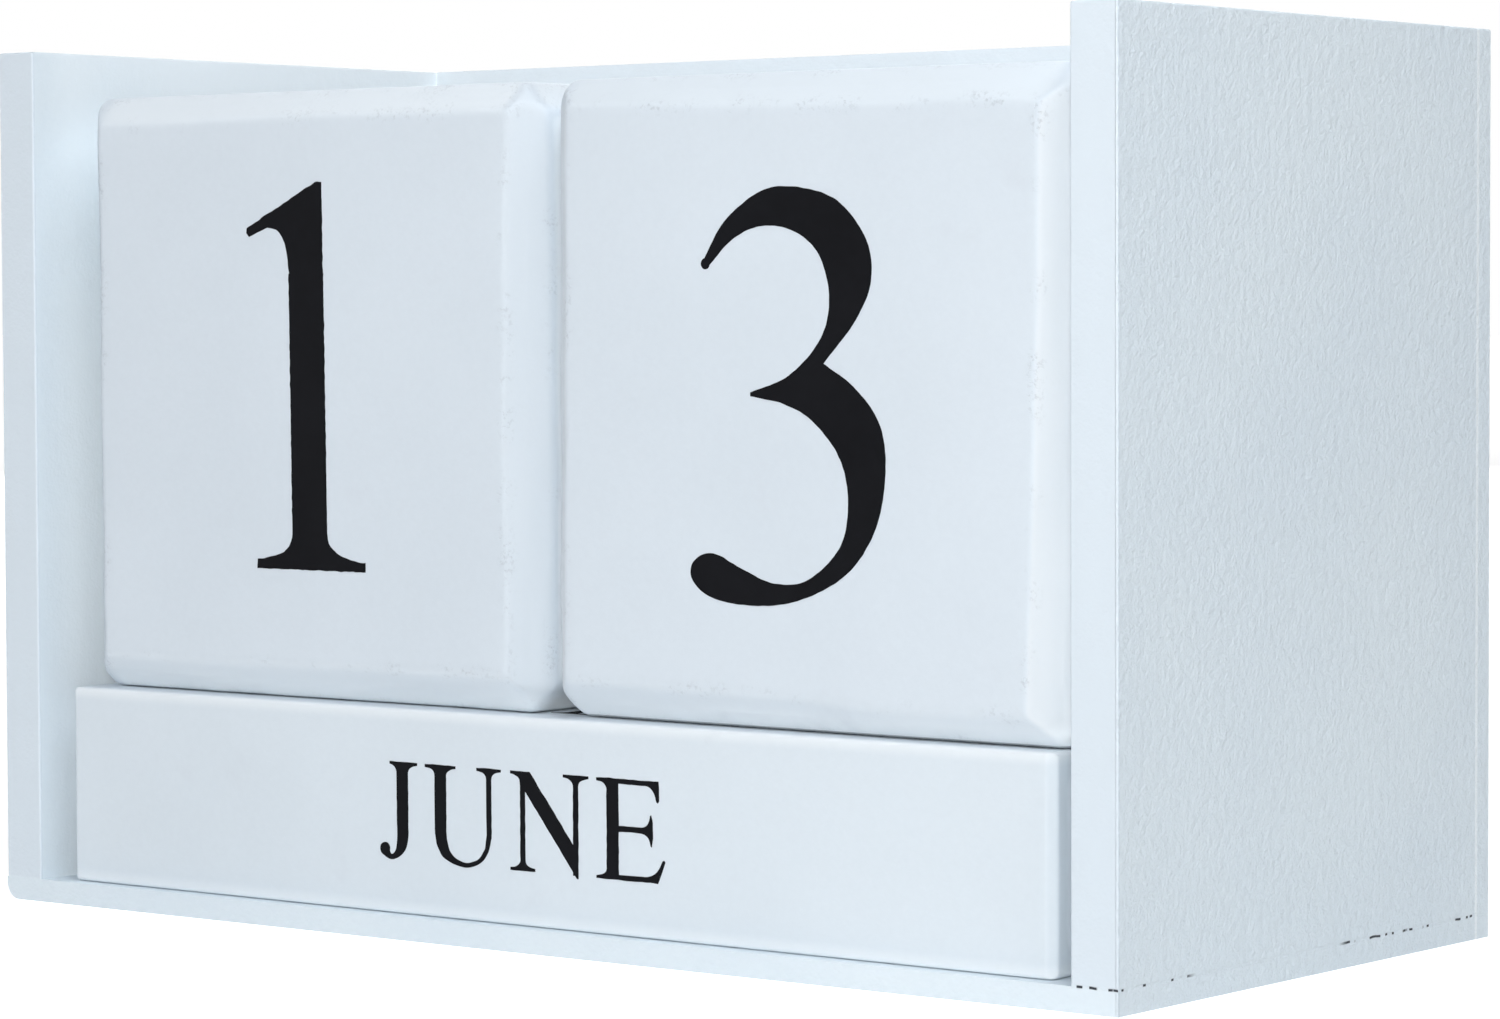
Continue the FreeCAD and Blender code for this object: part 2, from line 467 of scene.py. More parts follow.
def sanded_block(name, node, corner_flats, tree, settings, material):
    """Makes the block that stands for a node, the modifier settled into a plain mesh. corner_flats
    gives, at each corner of the box, how deep in mm the flats are on its edges along x, y and z."""
    group, sockets = tree
    low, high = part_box(node)
    half = (high - low) / 2 - Vector((INK_RECESS,) * 3)
    centre = (low + high) / 2
    mesh = bpy.data.meshes.new(name + "_box")
    mesh.from_pydata([[h * c for h, c in zip(half, corner)] for corner in CORNERS], [], BOX_FACES)
    widths = mesh.attributes.new("edge_width", "FLOAT_VECTOR", "POINT")
    for i, corner in enumerate(CORNERS):
        widths.data[i].vector = Vector(corner_flats(*corner)) * MM
    source = bpy.data.objects.new(name + "_box", mesh)
    bpy.context.scene.collection.objects.link(source)
    modifier = source.modifiers.new("sanded_block", "NODES")
    modifier.node_group = group
    modifier[sockets["Half Size"]] = half
    for key, setting in settings.items():
        modifier[sockets[key]] = setting
    modifier[sockets["Material"]] = material
    depsgraph = bpy.context.evaluated_depsgraph_get()
    shaped = bpy.data.meshes.new_from_object(source.evaluated_get(depsgraph))
    bpy.data.objects.remove(source)
    bpy.data.meshes.remove(mesh)
    shaped.name = name
    shaped.attributes.remove(shaped.attributes["edge_width"])
    shaped.transform(Matrix.Translation(centre))
    block = bpy.data.objects.new(name, shaped)
    bpy.context.scene.collection.objects.link(block)
    return block


# ----------------------------------------------------------------- lettering
# Every shape is a list of outlines in mm, and a letter is the union of its outlines. A letter's
# function gives its advance too. All stand on the line at 0, with their left edge near 0.

CAP = 10.35         # height of the month letters
HEAVY = 1.6         # thick stroke of a month letter
THIN = 0.68         # hairline of a month letter
SLAB = 0.3          # thickness of a serif at its tip
REACH = 1.35        # how far a serif stands out from its stem
BRACKET = 1.2       # how far a serif's curve climbs the stem
TRACKING = 0.8      # space between letters
TALL = 41.3         # height of the numerals
CURVE_STEPS = 10    # points on one piece of a curve
DISC_STEPS = 24     # points around a disc


def bezier(*points):
    """Points along a Bezier curve of any degree."""
    row = []
    for i in range(CURVE_STEPS + 1):
        t = i / CURVE_STEPS
        level = list(points)
        while len(level) > 1:
            level = [tuple(a + (b - a) * t for a, b in zip(p, q)) for p, q in zip(level, level[1:])]
        row.append(level[0])
    return row


def through(nodes, closed=False):
    """A smooth curve through rows of numbers."""
    if closed:
        ends = [nodes[-2]] + list(nodes) + [nodes[1]]
    else:
        before = tuple(2 * a - b for a, b in zip(nodes[0], nodes[1]))
        after = tuple(2 * a - b for a, b in zip(nodes[-1], nodes[-2]))
        ends = [before] + list(nodes) + [after]
    row = []
    for k in range(1, len(ends) - 2):
        for i in range(CURVE_STEPS):
            t = i / CURVE_STEPS
            row.append(tuple(
                0.5 * (2 * b + (c - a) * t + (2 * a - 5 * b + 4 * c - d) * t * t
                       + (3 * b - a - 3 * c + d) * t ** 3)
                for a, b, c, d in zip(*ends[k - 1:k + 3])))
    row.append(tuple(nodes[-1]))
    return row


def disc(x, y, radius):
    """A round dot."""
    turns = [math.tau * i / DISC_STEPS for i in range(DISC_STEPS)]
    return [(x + radius * math.cos(a), y + radius * math.sin(a)) for a in turns]


def ribbon(nodes, dot_start=False, dot_end=False, closed=False):
    """A pen stroke through (x, y, width) nodes, with round ends where asked."""
    row = through(nodes, closed)
    sides = []
    for i, (x, y, width) in enumerate(row):
        back, ahead = (i - 1, i + 1)
        if closed:
            back, ahead = (-2 if i == 0 else back), (1 if i == len(row) - 1 else ahead)
        x0, y0, _ = row[back if closed else max(back, 0)]
        x1, y1, _ = row[ahead if closed else min(ahead, len(row) - 1)]
        length = math.hypot(x1 - x0, y1 - y0)
        ox, oy = (y0 - y1) / length * width / 2, (x1 - x0) / length * width / 2
        sides.append(((x + ox, y + oy), (x - ox, y - oy)))
    shapes = [[a[0], b[0], b[1], a[1]] for a, b in zip(sides, sides[1:])]
    for wanted, (x, y, width) in ((dot_start, nodes[0]), (dot_end, nodes[-1])):
        if wanted:
            shapes.append(disc(x, y, width / 2))
    return shapes


def plate(x0, x1, y0, y1):
    """A level rectangle between two widths and two heights."""
    return [[(x0, y0), (x1, y0), (x1, y1), (x0, y1)]]


def slope(x0, y0, x1, y1, width):
    """A diagonal stroke between two heights, cut level at both ends; width is measured level."""
    half = width / 2
    return [[(x0 - half, y0), (x0 + half, y0), (x1 + half, y1), (x1 - half, y1)]]


def serif(x, width, level, up, left=REACH, right=REACH, slab=SLAB, bracket=BRACKET):
    """A bracketed slab on a stem; up is 1 at the foot and -1 at the head of a letter."""
    tip, climb, bend = level + up * slab, level + up * bracket, level + up * slab * 1.4
    outline = [(x - left, level), (x + width + right, level)]
    outline += bezier((x + width + right, tip), (x + width, bend), (x + width, climb))
    outline += bezier((x, climb), (x, bend), (x - left, tip))
    return [outline]


def pillar(x, width, head=(REACH, REACH), foot=(REACH, REACH), high=CAP):
    """A stem with its serifs; head and foot give their reach to the left and right, or None."""
    shapes = plate(x, x + width, 0, high)
    if head:
        shapes += serif(x, width, high, -1, *head)
    if foot:
        shapes += serif(x, width, 0, 1, *foot)
    return shapes


def arm(x0, x1, level, up, hook, lean=0.0, thick=0.52):
    """A thin arm at the head (up -1) or foot (up 1) of a letter that ends in a beak."""
    inner, tip, bend = level + up * thick, level + up * hook, x1 + lean
    outline = [(x0, level), (x1, level), (bend + 0.1, tip - up * 0.2), (bend - 0.05, tip)]
    outline += [(bend - 0.25, tip - up * 0.1)]
    inside = (x1 - 0.6 + lean / 2, inner)
    outline += bezier((bend - 0.35, tip - up * 0.3), inside, (x1 - 2.1, inner))
    return [outline + [(x0, inner)]]


def crossbar(x0, x1, level, beak=1.65, thick=0.6):
    """The middle arm of E and F, its beak standing both ways."""
    outline = []
    for side in (-1, 1):
        inner, tip = level + side * thick / 2, level + side * beak
        half = [(x0, inner)]
        half += bezier((x1 - 1.6, inner), (x1 - 0.4, inner), (x1 - 0.25, tip - side * 0.1))
        half += [(x1 - 0.1, tip), (x1 + 0.08, level + side * 0.8)]
        outline += half if side < 0 else half[::-1]
    return [outline]


def bowl(x, y, reach, half, heavy=HEAVY, thin=0.45, side=1):
    """Half a ring that bulges to one side, thick at its belly and thin where it meets the stem."""
    steps = 4 * CURVE_STEPS
    edge = []
    for i in range(steps + 1):
        angle = math.pi * (i / steps - 0.5)
        c, s = side * math.cos(angle), math.sin(angle)
        outer = (x + reach * c, y + half * s)
        edge.append((outer, (x + (reach - heavy) * c, y + (half - thin) * s)))
    return [[a[0], b[0], b[1], a[1]] for a, b in zip(edge, edge[1:])]


def ring(x, y, reach, half, heavy, thin):
    """A round letter, thick at both sides."""
    return bowl(x, y, reach, half, heavy, thin, 1) + bowl(x, y, reach, half, heavy, thin, -1)


def letter_a():
    shapes = slope(1.75, 0, 4.75, CAP - 0.2, 0.8) + slope(8.1, 0, 5.15, CAP + 0.15, 2.1)
    shapes += [[(2.7, 3.35), (7.0, 3.35), (6.8, 3.9), (2.95, 3.9)]]
    return 10.1, shapes + serif(1.45, 0.6, 0, 1, 1.2, 1.2) + serif(7.15, 1.9, 0, 1, 1.2, 1.1)


def letter_b():
    shapes = pillar(1.35, HEAVY, (REACH, 0), (REACH, 0)) + plate(2.9, 4.9, CAP - 0.45, CAP)
    shapes += plate(2.9, 5.2, 5.15, 5.6) + plate(2.9, 5.1, 0, 0.45)
    return 8.7, shapes + bowl(4.8, 7.75, 3.0, 2.6) + bowl(5.0, 2.8, 3.5, 2.8)


def round_back(end):
    """The open round stroke of C and G, from its upper beak down to the nodes in end."""
    nodes = [(8.75, 8.1, 0.35), (7.9, 9.4, 0.75), (6.6, 10.1, 0.62), (5.1, 10.25, 0.5),
             (3.1, 9.4, 0.95), (1.7, 7.5, 1.5), (1.3, 5.15, 1.7), (1.7, 2.8, 1.5),
             (3.1, 0.95, 1.0)]
    beak = [[(8.35, CAP + 0.1), (8.75, CAP + 0.1), (9.05, 7.0), (8.65, 7.0), (8.0, 9.1)]]
    return ribbon(nodes + end) + beak


def letter_c():
    return 9.2, round_back([(5.3, 0.12, 0.55), (7.3, 0.6, 0.6), (8.9, 2.1, 0.3)])


def letter_d():
    shapes = pillar(1.35, HEAVY, (REACH, 0), (REACH, 0))
    shapes += plate(2.9, 4.6, CAP - 0.45, CAP) + plate(2.9, 4.6, 0, 0.45)
    return 10.0, shapes + bowl(4.5, CAP / 2, 5.4, CAP / 2, 1.75)


def letter_e():
    shapes = pillar(1.4, HEAVY, (REACH, 0), (REACH, 0)) + arm(2.9, 8.25, CAP, -1, 2.2)
    return 9.05, shapes + crossbar(2.9, 7.4, 5.25) + arm(2.9, 8.15, 0, 1, 2.4, 0.85)


def letter_f():
    shapes = pillar(1.4, HEAVY, (REACH, 0)) + arm(2.9, 8.05, CAP, -1, 2.3)
    return 8.3, shapes + crossbar(2.9, 6.9, 5.25)


def letter_g():
    shapes = round_back([(5.3, 0.12, 0.5), (7.4, 0.45, 0.5), (8.6, 1.1, 0.5)])
    return 10.1, shapes + plate(7.7, 9.3, 0.9, 4.7) + serif(7.7, HEAVY, 4.8, -1, 1.3, 0.9)


def letter_h():
    return 10.6, pillar(1.35, HEAVY) + pillar(7.6, HEAVY) + plate(2.9, 7.7, 5.0, 5.5)


def letter_i():
    return 4.4, pillar(1.4, HEAVY)


def letter_j():
    shapes = plate(2.4, 4.0, 2.4, CAP) + serif(2.4, HEAVY, CAP, -1, 1.0, 1.3)
    nodes = [(3.2, 3.4, 1.6), (3.2, 2.5, 1.6), (2.98, 1.4, 1.35), (2.35, 0.55, 0.8),
             (1.65, 0.28, 0.55), (1.1, 0.5, 0.85), (0.7, 1.05, 1.4)]
    return 5.35, shapes + ribbon(nodes, dot_end=True)


def letter_l():
    return 8.5, pillar(1.4, HEAVY, foot=(REACH, 0)) + arm(2.9, 7.9, 0, 1, 2.6, 0.7)


def letter_m():
    shapes = pillar(1.45, THIN, None) + pillar(10.0, HEAVY, (0.2, REACH))
    shapes += slope(2.3, CAP, 6.2, 0.2, 2.0) + slope(10.0, CAP, 6.25, 0.2, 0.8)
    return 12.9, shapes + serif(1.3, THIN, CAP, -1, 1.2, 0)


def letter_n():
    shapes = pillar(1.45, THIN, (1.35, 0.2)) + plate(8.6, 9.3, 0, CAP) + serif(8.6, 0.7, CAP, -1)
    diagonal = [(1.4, CAP), (2.75, CAP), (9.3, 2.3), (9.3, -0.3), (9.1, -0.3), (2.0, 8.45)]
    return 10.85, shapes + [diagonal]


def letter_o():
    return 10.0, ring(5.1, CAP / 2, 4.75, CAP / 2 + 0.15, 1.75, 0.4)


def letter_p():
    shapes = pillar(1.35, HEAVY, (REACH, 0))
    shapes += plate(2.9, 5.0, CAP - 0.45, CAP) + plate(2.9, 5.0, 4.65, 5.1)
    return 8.2, shapes + bowl(4.8, 7.5, 3.4, 2.85)


def letter_r():
    return 9.9, letter_p()[1] + slope(5.3, 4.9, 8.5, 0.0, 2.1) + serif(8.0, 1.2, 0, 1, 0.1, 0.9)


def letter_s():
    nodes = [(6.3, 8.2, 0.3), (5.7, 9.4, 0.55), (4.2, 10.15, 0.45), (2.4, 9.6, 0.75),
             (1.55, 8.1, 1.3), (2.4, 6.6, 1.7), (4.2, 5.55, 1.85), (6.0, 4.4, 1.7),
             (6.75, 2.7, 1.3), (5.9, 0.95, 0.8), (3.9, 0.12, 0.5), (2.0, 0.8, 0.55),
             (1.1, 2.4, 0.3)]
    beaks = [[(6.2, CAP + 0.1), (6.55, CAP + 0.1), (6.7, 7.2), (6.3, 7.2), (5.7, 9.2)]]
    beaks += [[(0.85, -0.1), (1.25, -0.1), (1.9, 1.2), (1.15, 3.3), (0.75, 3.3)]]
    return 7.5, ribbon(nodes) + beaks


def letter_t():
    wing = arm(4.6, 8.7, CAP, -1, 2.3)
    return 8.9, pillar(3.85, HEAVY, None) + wing + [[(9.3 - x, y) for x, y in wing[0]]]


def letter_u():
    shapes = plate(1.6, 3.2, 3.0, CAP) + serif(1.6, HEAVY, CAP, -1)
    shapes += plate(8.78, 9.46, 3.0, CAP) + serif(8.78, THIN, CAP, -1)
    nodes = [(2.4, 4.4, 1.6), (2.4, 3.4, 1.6), (2.6, 2.2, 1.5), (3.25, 1.05, 1.15),
             (4.6, 0.3, 0.65), (6.1, 0.08, 0.5), (7.7, 0.55, 0.52), (8.75, 1.75, 0.6),
             (9.12, 3.4, 0.68), (9.12, 4.4, 0.68)]
    return 11.15, shapes + ribbon(nodes)


def letter_v():
    shapes = slope(2.2, CAP, 5.3, -0.2, 2.1) + slope(8.3, CAP, 5.35, -0.2, 0.8)
    return 9.9, shapes + serif(1.3, 1.8, CAP, -1, 1.2, 1.1) + serif(8.0, 0.6, CAP, -1, 1.2, 1.1)


def letter_y():
    shapes = pillar(4.3, HEAVY, None, high=4.9) + slope(2.1, CAP, 5.05, 4.4, 2.0)
    shapes += slope(8.4, CAP, 5.3, 4.3, 0.8)
    return 9.9, shapes + serif(1.2, 1.8, CAP, -1, 1.2, 1.1) + serif(8.1, 0.6, CAP, -1, 1.2, 1.1)


LETTERS = {
    "A": letter_a, "B": letter_b, "C": letter_c, "D": letter_d, "E": letter_e, "F": letter_f,
    "G": letter_g, "H": letter_h, "I": letter_i, "J": letter_j, "L": letter_l, "M": letter_m,
    "N": letter_n, "O": letter_o, "P": letter_p, "R": letter_r, "S": letter_s, "T": letter_t,
    "U": letter_u, "V": letter_v, "Y": letter_y,
}


def numeral_0():
    return ring(12.0, TALL / 2, 11.0, TALL / 2 + 0.3, 5.0, 1.3)


def numeral_1():
    flag = [(11.0, TALL), (10.0, TALL - 0.05), (0.0, 36.5), (-0.1, 36.0), (0.3, 35.5)]
    flag += bezier((2.2, 36.25), (5.3, 37.25), (5.85, 34.8), (6.2, 31.5)) + [(11.1, 31.5)]
    trunk = [(6.1, 31.6), (6.4, 2.5), (11.45, 2.5), (11.15, 31.6)]
    return [flag, trunk] + serif(6.4, 5.05, -0.1, 1, 5.2, 5.5, 1.0, 3.9)


def numeral_2():
    stroke = [(1.7, 30.6, 0.9), (3.3, 34.2, 1.9), (6.2, 37.7, 3.0), (10.2, 38.9, 3.9),
              (14.6, 37.6, 4.9), (17.6, 33.9, 5.4), (17.9, 29.2, 5.0), (15.8, 23.4, 3.7),
              (11.9, 17.2, 2.5), (6.8, 10.2, 1.9), (1.6, 3.2, 1.7)]
    foot = [(0.4, 0.0), (20.9, 0.0), (23.6, 8.7), (22.7, 9.0)]
    foot += bezier((22.2, 8.1), (20.4, 4.6), (15.5, 4.9)) + [(2.6, 4.9), (0.4, 2.2)]
    return ribbon(stroke, dot_start=True) + [foot]


def numeral_3():
    upper = [(1.45, 33.7), (4.4, 38.0), (9.0, 40.95), (13.4, 41.3), (18.4, 39.9), (21.9, 36.1),
             (22.5, 32.0), (20.6, 28.2), (16.7, 24.0)]
    lower = [(16.7, 24.0), (20.4, 21.7), (23.4, 18.3), (24.2, 13.8), (23.0, 8.0), (19.4, 3.4),
             (13.4, 0.6), (7.4, -0.05), (2.4, 0.65), (0.1, 2.4), (0.4, 4.2), (2.8, 5.0),
             (6.4, 3.6), (10.4, 2.25), (14.6, 2.7), (18.6, 6.0), (19.65, 10.3), (18.7, 14.6),
             (15.5, 18.2), (11.9, 19.95), (7.6, 20.7)]
    inner = [(7.6, 21.1), (12.4, 22.8), (16.4, 26.5), (17.4, 30.8), (15.9, 35.0), (12.4, 37.2),
             (8.4, 37.4), (5.1, 36.0), (2.5, 33.7)]
    return [through(upper) + through(lower) + through(inner), disc(1.98, 33.85, 0.56)]


def numeral_4():
    shapes = plate(14.6, 19.6, 0.0, TALL) + serif(14.6, 5.0, 0, 1, 4.2, 4.2, 1.0, 3.6)
    shapes += [[(0.2, 12.2), (2.9, 12.2), (19.6, TALL), (16.9, TALL)]]
    return shapes + plate(0.2, 23.6, 9.6, 12.2)


def numeral_5():
    bar = [(6.2, TALL - 0.2), (20.2, TALL - 0.2), (21.6, TALL + 0.9), (22.3, TALL + 0.6),
           (19.9, 36.2), (5.0, 36.2)]
    neck = [(6.2, TALL - 0.2), (7.6, TALL - 1.4), (4.2, 24.2), (3.0, 23.8)]
    stroke = [(3.5, 23.9, 0.9), (6.6, 24.9, 2.3), (10.6, 25.2, 4.2), (15.6, 23.3, 5.6),
              (18.9, 19.2, 5.9), (20.1, 14.0, 5.3), (19.4, 9.0, 4.4), (16.8, 4.6, 2.9),
              (13.0, 1.8, 2.0), (9.2, 1.2, 2.3), (5.9, 2.0, 3.4), (3.0, 3.3, 4.3)]
    return [bar, neck] + ribbon(stroke, dot_start=True, dot_end=True)


def numeral_6():
    tail = [(4.25, 10.0, 4.9), (4.3, 13.4, 5.0), (5.0, 20.9, 4.9), (7.7, 28.6, 4.2),
            (12.2, 35.2, 3.0), (18.0, 39.6, 1.7), (21.9, 41.2, 0.7)]
    return ring(12.4, 12.8, 10.6, 13.1, 4.9, 1.4) + ribbon(tail)


def numeral_7():
    bar = [(1.2, 36.4), (0.9, TALL), (22.7, TALL), (22.7, TALL - 1.4), (20.2, 36.4)]
    drop = [(0.9, TALL), (0.1, 31.4)] + bezier((1.0, 31.1), (2.6, 36.4), (7.6, 36.4))
    leg = bezier((22.7, TALL - 1.4), (13.6, 22.0), (11.4, 0.0))
    leg += bezier((6.2, 0.0), (9.8, 18.0), (20.2, 36.4))
    return [bar, drop, leg]


def numeral_8():
    nodes = [(17.7, 34.8, 3.6), (14.6, 39.0, 2.1), (10.8, 40.3, 1.5), (7.0, 38.9, 2.4),
             (5.1, 35.2, 3.9), (5.7, 31.2, 4.9), (9.1, 26.7, 5.4), (14.0, 21.6, 5.8),
             (18.4, 16.6, 5.3), (19.8, 10.8, 4.2), (18.2, 5.0, 3.0), (14.9, 1.7, 1.9),
             (11.3, 0.9, 1.5), (7.3, 2.1, 2.4), (4.5, 5.8, 3.9), (4.2, 10.6, 4.1),
             (6.6, 15.6, 2.9), (11.0, 20.2, 1.9), (15.5, 25.1, 2.1), (18.4, 30.2, 3.2)]
    return ribbon(nodes + nodes[:1], closed=True)


NUMERALS = [numeral_0, numeral_1, numeral_2, numeral_3, numeral_4,
            numeral_5, numeral_6, numeral_7, numeral_8]


def moved(shapes, dx, dy):
    """The same outlines in another place."""
    return [[(x + dx, y + dy) for x, y in outline] for outline in shapes]


def word(text):
    """The outlines of a month name, and its length."""
    shapes, x = [], 0.0
    for letter in text:
        advance, outlines = LETTERS[letter]()
        shapes += moved(outlines, x, 0)
        x += advance + TRACKING
    return shapes, x - TRACKING


# ------------------------------------------------------------------ ink films

INK_FILM = 0.03         # thickness of the ink, mm
EDGE_STEP = 0.35        # spacing of the points along an inked edge, mm
ROUGH_SIZE = 0.8        # size of the bumps along an inked edge, mm
MERGE_DISTANCE = 1e-5   # points of outlines that lie closer than this are one, mm

noise.seed_set(1)       # the edges stray alike in each run


def turns_left(outline):
    """Whether an outline runs counter-clockwise."""
    return sum(a[0] * b[1] - b[0] * a[1] for a, b in zip(outline, outline[1:] + outline[:1])) > 0


def union(shapes):
    """The triangles that cover overlapping outlines, as points and faces."""
    points, faces = [], []
    for outline in shapes:
        row = outline if turns_left(outline) else outline[::-1]
        faces.append(list(range(len(points), len(points) + len(row))))
        points += [Vector(p) for p in row]
    found = delaunay_2d_cdt(points, [], faces, 0, MERGE_DISTANCE, True)
    points, _, faces, _, _, origins = found
    return points, [face for face, origin in zip(faces, origins) if origin]


def rim_edges(faces):
    """The edges that only one face uses, each in its face's direction."""
    seen = {}
    for face in faces:
        for a, b in zip(face, face[1:] + face[:1]):
            seen[(a, b)] = True
    return [edge for edge in seen if (edge[1], edge[0]) not in seen]


def rough_film(shapes, seed, stray):
    """A thin film of ink over the outlines, its edges straying by up to stray, in mm."""
    points, faces = union(shapes)
    points = [tuple(p) for p in points]
    split = {}
    for a, b in rim_edges(faces):
        (xa, ya), (xb, yb) = points[a], points[b]
        count = int(math.hypot(xb - xa, yb - ya) / EDGE_STEP)
        added = []
        for i in range(1, count + 1):
            t = i / (count + 1)
            added.append(len(points))
            points.append((xa + (xb - xa) * t, ya + (yb - ya) * t))
        split[(a, b)] = added
    outlines = []
    for face in faces:
        row = []
        for a, b in zip(face, face[1:] + face[:1]):
            row += [a] + split.get((a, b), [])
        outlines.append(row)
    strayed = []
    for x, y in points:
        shift = noise.noise_vector(Vector((x, y, seed)) / ROUGH_SIZE)
        strayed.append((x + shift.x * stray, y + shift.y * stray))
    count = len(strayed)
    solid = [(x, y, INK_FILM) for x, y in strayed] + [(x, y, 0.0) for x, y in strayed]
    sides = [[a, a + count, b + count, b] for a, b in rim_edges(outlines)]
    under = [[i + count for i in reversed(row)] for row in outlines]
    return solid, outlines + under + [side[::-1] for side in sides]


# Right and up directions on each face of a block, as a reader sees them. A bar is turned over
# forwards, so its four sides are, in turn, its front, top, back and bottom.
CUBE_SIDES = {
    "front": ((1, 0, 0), (0, 0, 1)),
    "right": ((0, 1, 0), (0, 0, 1)),
    "back": ((-1, 0, 0), (0, 0, 1)),
    "left": ((0, -1, 0), (0, 0, 1)),
    "top": ((1, 0, 0), (0, 1, 0)),
    "bottom": ((1, 0, 0), (0, -1, 0)),
}
BAR_SIDES = [((1, 0, 0), up) for up in ((0, 0, 1), (0, 1, 0), (0, 0, -1), (0, -1, 0))]

NUMERAL_WIDTH = 24.2        # mm
NUMERAL_BASELINE = 12.7     # mm above a face's lower edge
NUMERAL_SEED = 7.3          # spreads the numerals' seeds, so that their edges stray differently
MONTH_BASELINE = 5.78       # mm above a face's lower edge
MONTH_SHIFT = -0.57         # the names stand this far to the left of a bar's middle, mm
MONTH_STRAY = 0.06          # mm
MONTH_SEED = 3.1            # spreads the names' seeds


def face_matrix(node, right, up):
    """From mm on one face of a block, counted from its lower left corner, to the model's metres."""
    low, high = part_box(node)
    centre, half = (low + high) / 2, (high - low) / 2
    right, up = Vector(right), Vector(up)
    out = right.cross(up)
    reach = [abs(axis.dot(half)) for axis in (right, up, out)]
    corner = centre - right * reach[0] - up * reach[1] + out * (reach[2] - INK_RECESS)
    turn = Matrix((right, up, out)).transposed().to_4x4()
    return Matrix.Translation(corner) @ turn @ Matrix.Scale(MM, 4)


def ink_piece(name, placed, material):
    """One piece from (matrix, film) pairs."""
    points, faces = [], []
    for matrix, (film_points, film_faces) in placed:
        start = len(points)
        points += [matrix @ Vector(p) for p in film_points]
        faces += [[i + start for i in face] for face in film_faces]
    mesh = bpy.data.meshes.new(name)
    mesh.from_pydata(points, [], faces)
    mesh.materials.append(material)
    mesh.update()
    piece = bpy.data.objects.new(name, mesh)
    bpy.context.scene.collection.objects.link(piece)
    return piece


def inked_numerals(name, node, numerals, material, nudges, stray):
    """Prints one numeral on each face of a cube; nudges gives the odd ones' own place in mm."""
    low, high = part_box(node)
    middle = ((high - low).x / MM / 2 - NUMERAL_WIDTH / 2, NUMERAL_BASELINE)
    placed = []
    for side, digit in numerals.items():
        shapes = moved(NUMERALS[digit](), *nudges.get(digit, middle))
        film = rough_film(shapes, digit * NUMERAL_SEED, stray)
        placed.append((face_matrix(node, *CUBE_SIDES[side]), film))
    return ink_piece(name, placed, material)


def inked_months(name, node, months, material):
    """Prints one month on each long face of a bar, near its middle."""
    low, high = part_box(node)
    length = (high.x - low.x) / MM
    placed = []
    for side, month in zip(BAR_SIDES, months):
        shapes, width = word(month)
        left = (length - width) / 2 + MONTH_SHIFT
        film = rough_film(moved(shapes, left, MONTH_BASELINE), len(month) * MONTH_SEED, MONTH_STRAY)
        placed.append((face_matrix(node, *side), film))
    return ink_piece(name, placed, material)


# -------------------------------------------------------------------- blocks
# Widths of edge flats are in mm, for the edges that run along x, y and z.

BACK_FLATS = (3.4, 2.4, 3.4)        # at the cubes' back corners


def left_cube_flats(x, y, z):
    """The left cube was sanded harder towards its lower right."""
    if y > 0:
        return BACK_FLATS
    level = 2.9 if z > 0 else 3.8
    if x < 0:
        return (level, 0.8, 2.7 if z > 0 else 2.9)
    return (level, 3.0, 3.2 if z > 0 else 3.7)


def right_cube_flats(x, y, z):
    """The right cube's front flats taper, and its lower left corner is rounded well down."""
    if y > 0:
        return BACK_FLATS
    if x < 0:
        return (2.8, 1.7, 3.4) if z > 0 else (3.9, 2.3, 2.7)
    return (3.7, 2.6, 3.6) if z > 0 else (2.7, 2.6, 5.2)


def bar_flats(x, y, z):
    """A bar's edges are only eased, more at its right end."""
    return (0.25, 0.4, 0.85 if x > 0 else 0.35)


def dress(piece, body, node=None):
    """Lets a piece ride on a body and, if it stands for a node, take that node's place."""
    if node:
        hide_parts(node)
    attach(piece, body)


CUBE_SHAPE = {"Rim": 6.5 * MM, "Level": 6, "Crispness": 42.0, "Corner Cut": 0.6, "Waver": 0.35}
# The end tones are painted light, lighter deeper in, against the shade on the cubes' sides between
# them
CUBE_TONES = {"face": (217, 227, 236), "end": (235, 245, 252), "deep_end": (243, 250, 255)}
CUBE_END_LIGHT = (FRONT_EDGE + 4.6 * MM, FRONT_EDGE + 6.2 * MM)
# Each cube's flat and upright tones are painted light and shade on its edge flats, and the strength
# of the painted shadow line at its foot is given last
CUBES = {
    "left": {
        "numerals": {"front": 1, "right": 7, "back": 6, "left": 8, "top": 2, "bottom": 0},
        "nudges": {1: (25.4, 14.25)}, "stray": 0.1, "flats": left_cube_flats, "seed": 0.3,
        "tones": {"flat": (233, 241, 247), "upright": (204, 214, 223)}, "foot_shadow": 0.0,
    },
    "right": {
        "numerals": {"front": 3, "right": 4, "back": 5, "left": 2, "top": 0, "bottom": 1},
        "nudges": {3: (19.6, 12.63), 1: (25.4, 14.2)}, "stray": 0.05,
        "flats": right_cube_flats, "seed": 1.0,
        "tones": {"flat": (222, 231, 238), "upright": (221, 228, 234)}, "foot_shadow": 0.9,
    },
}

BAR_SHAPE = {"Rim": 4.0 * MM, "Level": 6, "Crispness": 80.0, "Corner Cut": 0.53, "Waver": 0.3}
# Beside the face, these tones are painted light and shade: on the level flats, the upright flats
# and the ends in the shade by the boards
BAR_TONES = {"face": (220, 230, 238), "flat": (226, 235, 242), "upright": (186, 197, 205),
             "end": (225, 235, 243), "deep_end": (229, 238, 246)}
BAR_END_LIGHT = (FRONT_EDGE + 1.8 * MM, FRONT_EDGE + 3.6 * MM)
